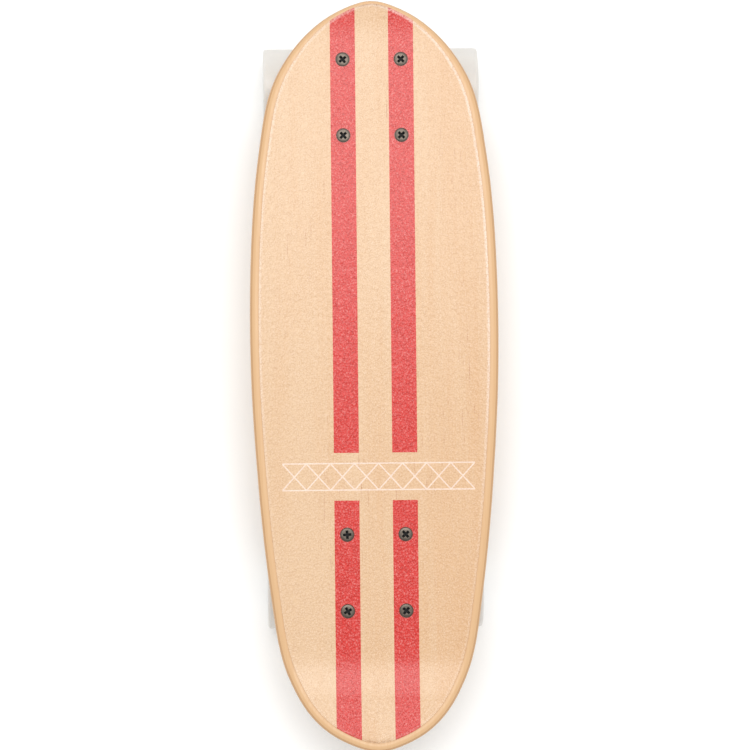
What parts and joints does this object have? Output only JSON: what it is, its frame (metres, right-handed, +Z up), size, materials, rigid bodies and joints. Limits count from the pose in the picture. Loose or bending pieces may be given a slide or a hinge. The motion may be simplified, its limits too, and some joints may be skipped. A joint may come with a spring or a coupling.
{
  "type": "cruiser skateboard",
  "caption": "Small wooden cruiser skateboard: dished maple deck with a kicked tail and clear grip, two sprung kingpin trucks and four urethane wheels on ball bearings.",
  "frame": {"origin": "on the floor under the middle of the deck's length and width", "axes": "+X towards the nose, +Y to the left of someone facing the nose, +Z up from the floor through the deck"},
  "size_m": [0.5306, 0.1758, 0.1037],
  "materials": {
    "maple": "clear-lacquered maple veneer",
    "clear_grip": "clear gritty coat with a printed graphic under it",
    "riser_rubber": "matt black rubber",
    "bolt_steel": "dark plated steel",
    "nut_steel": "zinc plated",
    "cast_aluminium": "satin cast aluminium",
    "cup_urethane": "black urethane",
    "kingpin_steel": "zinc plated",
    "washer_steel": "zinc plated",
    "bushing_urethane": "red urethane",
    "axle_steel": "plated steel",
    "spacer_aluminium": "turned aluminium",
    "bearing_steel": "ground bearing steel",
    "wheel_urethane": "off-white cast urethane",
    "shield_rubber": "black rubber shield",
    "ball_steel": "polished steel",
    "cage_nylon": "natural nylon"
  },
  "bodies": {
    "board": {"deck": "maple", "grip_sheet": "clear_grip", "front_riser_pad": "riser_rubber", "front_truck_bolts": "bolt_steel", "front_truck_nuts": "nut_steel", "front_baseplate": "cast_aluminium", "front_pivot_cup": "cup_urethane", "front_kingpin": "kingpin_steel", "front_kingpin_nut": "nut_steel", "front_bottom_washer": "washer_steel", "front_top_washer": "washer_steel", "front_bottom_bushing": "bushing_urethane", "front_top_bushing": "bushing_urethane", "rear_riser_pad": "riser_rubber", "rear_truck_bolts": "bolt_steel", "rear_truck_nuts": "nut_steel", "rear_baseplate": "cast_aluminium", "rear_pivot_cup": "cup_urethane", "rear_kingpin": "kingpin_steel", "rear_kingpin_nut": "nut_steel", "rear_bottom_washer": "washer_steel", "rear_top_washer": "washer_steel", "rear_bottom_bushing": "bushing_urethane", "rear_top_bushing": "bushing_urethane"},
    "front_hanger": {"front_hanger": "cast_aluminium", "front_axle": "axle_steel", "front_axle_nuts": "nut_steel", "front_speed_rings": "washer_steel", "front_bearing_spacers": "spacer_aluminium", "front_inner_races": "bearing_steel"},
    "rear_hanger": {"rear_hanger": "cast_aluminium", "rear_axle": "axle_steel", "rear_axle_nuts": "nut_steel", "rear_speed_rings": "washer_steel", "rear_bearing_spacers": "spacer_aluminium", "rear_inner_races": "bearing_steel"},
    "front_left_wheel": {"front_left_wheel": "wheel_urethane", "front_left_outer_races": "bearing_steel", "front_left_bearing_shields": "shield_rubber"},
    "front_right_wheel": {"front_right_wheel": "wheel_urethane", "front_right_outer_races": "bearing_steel", "front_right_bearing_shields": "shield_rubber"},
    "rear_left_wheel": {"rear_left_wheel": "wheel_urethane", "rear_left_outer_races": "bearing_steel", "rear_left_bearing_shields": "shield_rubber"},
    "rear_right_wheel": {"rear_right_wheel": "wheel_urethane", "rear_right_outer_races": "bearing_steel", "rear_right_bearing_shields": "shield_rubber"},
    "front_left_balls": {"front_left_bearing_balls": "ball_steel", "front_left_ball_cages": "cage_nylon"},
    "front_right_balls": {"front_right_bearing_balls": "ball_steel", "front_right_ball_cages": "cage_nylon"},
    "rear_left_balls": {"rear_left_bearing_balls": "ball_steel", "rear_left_ball_cages": "cage_nylon"},
    "rear_right_balls": {"rear_right_bearing_balls": "ball_steel", "rear_right_ball_cages": "cage_nylon"}
  },
  "joints": [
    {"name": "front_steer", "type": "hinge", "parent": "board", "child": "front_hanger", "pos_m": [0.2235, 0, 0.0665], "axis": [-0.8747, 0, -0.4846], "range_deg": [-15, 15], "stiffness_Nm_per_rad": 60, "deforming": ["front_bottom_bushing", "front_top_bushing"]},
    {"name": "rear_steer", "type": "hinge", "parent": "board", "child": "rear_hanger", "pos_m": [-0.167, 0, 0.0665], "axis": [0.8747, 0, -0.4846], "range_deg": [-15, 15], "stiffness_Nm_per_rad": 60, "deforming": ["rear_bottom_bushing", "rear_top_bushing"]},
    {"name": "front_left_spin", "type": "hinge", "parent": "front_hanger", "child": "front_left_wheel", "pos_m": [0.2085, 0.0545, 0.03], "axis": [0, 1, 0], "continuous": true},
    {"name": "front_left_balls_spin", "type": "hinge", "parent": "front_hanger", "child": "front_left_balls", "pos_m": [0.2085, 0.0545, 0.03], "axis": [0, 1, 0], "continuous": true},
    {"name": "front_right_spin", "type": "hinge", "parent": "front_hanger", "child": "front_right_wheel", "pos_m": [0.2085, -0.0545, 0.03], "axis": [0, 1, 0], "continuous": true},
    {"name": "front_right_balls_spin", "type": "hinge", "parent": "front_hanger", "child": "front_right_balls", "pos_m": [0.2085, -0.0545, 0.03], "axis": [0, 1, 0], "continuous": true},
    {"name": "rear_left_spin", "type": "hinge", "parent": "rear_hanger", "child": "rear_left_wheel", "pos_m": [-0.152, 0.0545, 0.03], "axis": [0, 1, 0], "continuous": true},
    {"name": "rear_left_balls_spin", "type": "hinge", "parent": "rear_hanger", "child": "rear_left_balls", "pos_m": [-0.152, 0.0545, 0.03], "axis": [0, 1, 0], "continuous": true},
    {"name": "rear_right_spin", "type": "hinge", "parent": "rear_hanger", "child": "rear_right_wheel", "pos_m": [-0.152, -0.0545, 0.03], "axis": [0, 1, 0], "continuous": true},
    {"name": "rear_right_balls_spin", "type": "hinge", "parent": "rear_hanger", "child": "rear_right_balls", "pos_m": [-0.152, -0.0545, 0.03], "axis": [0, 1, 0], "continuous": true}
  ],
  "couplings": [
    {"joint": "front_left_balls_spin", "follows": "front_left_spin", "ratio": 0.63},
    {"joint": "front_right_balls_spin", "follows": "front_right_spin", "ratio": 0.63},
    {"joint": "rear_left_balls_spin", "follows": "rear_left_spin", "ratio": 0.63},
    {"joint": "rear_right_balls_spin", "follows": "rear_right_spin", "ratio": 0.63}
  ]
}
